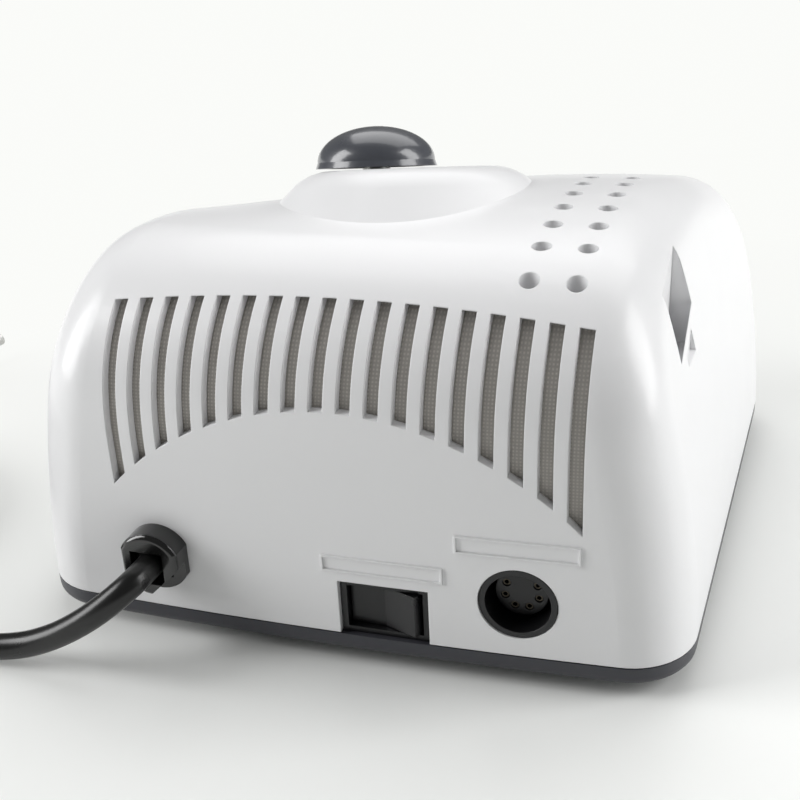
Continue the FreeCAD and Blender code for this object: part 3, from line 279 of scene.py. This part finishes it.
# The mains cord with its put-away coil and the lead to the plug

def coil_points():
    """Centre line of the coil: two layers, wound in from the outside and out again."""
    outer = COIL_MID_RADIUS + COIL_PITCH * COIL_TURNS / 2
    centre_x = COIL_START[0] + 2 * CORD_RADIUS
    centre_y = COIL_START[1] - outer
    last = 2 * COIL_TURNS + COIL_CLIMB_TURNS
    count = round(last * COIL_POINTS_PER_TURN)
    made = []
    for index in range(count + 1):
        turns = last * index / count
        radius = outer - COIL_PITCH * (last / 2 - abs(turns - last / 2))
        climb = min(1.0, max(0.0, (turns - COIL_TURNS) / COIL_CLIMB_TURNS))
        rise = COIL_PITCH * climb * climb * (3 - 2 * climb)
        angle = math.pi / 2 - 2 * math.pi * turns
        made.append((centre_x + radius * math.cos(angle), centre_y + radius * math.sin(angle),
                     COIL_START[2] + rise))
    return made


route = [*EXIT_POINTS, COIL_START, *coil_points(), *TAIL_POINTS]
curve = bpy.data.curves.new("mains_lead", "CURVE")
curve.dimensions = "3D"
curve.bevel_depth = CORD_RADIUS * MM
curve.bevel_resolution = CORD_SIDE_STEPS
curve.use_fill_caps = True
spline = curve.splines.new("NURBS")
spline.points.add(len(route) - 1)
for point, (x, y, z) in zip(spline.points, route):
    point.co = (x * MM, y * MM, z * MM, 1.0)
spline.order_u = CORD_ORDER
spline.use_endpoint_u = True
spline.resolution_u = CORD_LENGTH_STEPS
curve.materials.append(finishes["cord_pvc"])
lead = bpy.data.objects.new("mains_lead", curve)
bpy.context.scene.collection.objects.link(lead)
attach(lead, "machine")
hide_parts("mains_cord", "cord_coil", "plug_cord")


# Floor, lights and camera

FLOOR_SIZE = 3.0
FLOOR_DROP = 0.0002         # below the feet, so that no two faces lie in one plane
FLOOR_ROUGHNESS = (0.27, 0.36)
FLOOR_COLOUR = (0.84, 0.85, 0.835)
BACKGROUND_COLOUR = (0.96, 0.968, 0.945)
FADE_CENTRE = (-0.11, 0.1, 0.0)
FADE_FROM = 0.14            # metres from that centre at which the floor starts to fade into the background
FADE_TO = 0.34


def studio_floor():
    """Pale sheet that takes the object's shadow and, further off, shows the plain background."""
    made, tree, shader = new_material("pale_floor", FLOOR_COLOUR, 0.32, specular=0.4)
    broad = noise(tree, 3.0, 2.0)
    tree.links.new(ranged(tree, broad, *FLOOR_ROUGHNESS), shader.inputs["Roughness"])
    far = tree.nodes.new("ShaderNodeVectorMath")
    far.operation = "DISTANCE"
    far.inputs[1].default_value = FADE_CENTRE
    tree.links.new(object_space(tree), far.inputs[0])
    fade = ranged(tree, far.outputs["Value"], 0.0, 1.0, FADE_FROM, FADE_TO)
    rays = tree.nodes.new("ShaderNodeLightPath")
    seen = rays.outputs["Is Camera Ray"]
    for kind in ("Is Glossy Ray", "Is Transmission Ray"):
        seen = combine(tree, "MAXIMUM", seen, rays.outputs[kind])
    share = combine(tree, "MULTIPLY", seen, fade)
    plain = tree.nodes.new("ShaderNodeEmission")
    plain.inputs["Color"].default_value = (*BACKGROUND_COLOUR, 1.0)
    mixed = tree.nodes.new("ShaderNodeMixShader")
    tree.links.new(share, mixed.inputs[0])
    tree.links.new(shader.outputs["BSDF"], mixed.inputs[1])
    tree.links.new(plain.outputs["Emission"], mixed.inputs[2])
    tree.links.new(mixed.outputs["Shader"], tree.nodes["Material Output"].inputs["Surface"])
    bpy.ops.mesh.primitive_plane_add(size=FLOOR_SIZE, location=(0.0, 0.0, -FLOOR_DROP))
    floor = bpy.context.object
    floor.name = "studio_floor"
    floor.data.materials.append(made)


studio_floor()


def area_light(name, place, aim, size, power):
    """A rectangular lamp turned to a point, sizes in metres and power in watts."""
    data = bpy.data.lights.new(name, "AREA")
    data.shape = "RECTANGLE"
    data.size, data.size_y = size
    data.energy = power
    made = bpy.data.objects.new(name, data)
    made.location = place
    towards = (Vector(aim) - made.location).to_track_quat("-Z", "Y")
    made.rotation_euler = towards.to_euler()
    bpy.context.scene.collection.objects.link(made)


area_light("overhead_softbox", (0.0, -0.6, 0.9), (0.0, -0.02, 0.05), (1.2, 0.9), 6.4)
area_light("left_softbox", (0.88, 0.34, 0.5), (0.0, 0.0, 0.05), (0.5, 0.9), 9.6)
area_light("right_softbox", (-0.85, -0.12, 0.45), (0.0, 0.0, 0.05), (0.45, 0.8), 6.9)

WORLD_STRENGTH = 0.16       # what lights the object, while the camera sees the background at strength 1
world = bpy.data.worlds.new("studio")
world.use_nodes = True
back = world.node_tree.nodes["Background"]
back.inputs["Color"].default_value = (*BACKGROUND_COLOUR, 1.0)
bpy.context.scene.world = world
path = world.node_tree.nodes.new("ShaderNodeLightPath")
seen_strength = world.node_tree.nodes.new("ShaderNodeMapRange")
seen_strength.inputs["To Min"].default_value = WORLD_STRENGTH
seen_strength.inputs["To Max"].default_value = 1.0
world.node_tree.links.new(path.outputs["Is Camera Ray"], seen_strength.inputs["Value"])
world.node_tree.links.new(seen_strength.outputs["Result"], back.inputs["Strength"])

CAMERA_PLACE = (-83.0, 280.2, 168.5)
CAMERA_YAW = 0.3111
CAMERA_PITCH = 0.4485
CAMERA_ROLL = -0.0505
CAMERA_LENS = 54.76
CAMERA_SENSOR = 36.0
CAMERA_NEAR = 0.01
camera_data = bpy.data.cameras.new("photo_view")
camera_data.sensor_width = CAMERA_SENSOR
camera_data.lens = CAMERA_LENS
camera_data.clip_start = CAMERA_NEAR
camera = bpy.data.objects.new("photo_view", camera_data)
turn = (Matrix.Rotation(math.pi + CAMERA_YAW, 4, "Z") @ Matrix.Rotation(math.pi / 2 - CAMERA_PITCH, 4, "X")
        @ Matrix.Rotation(CAMERA_ROLL, 4, "Z"))
camera.matrix_world = Matrix.Translation([c * MM for c in CAMERA_PLACE]) @ turn
bpy.context.scene.collection.objects.link(camera)
bpy.context.scene.camera = camera

bpy.context.scene.view_settings.view_transform = "Standard"
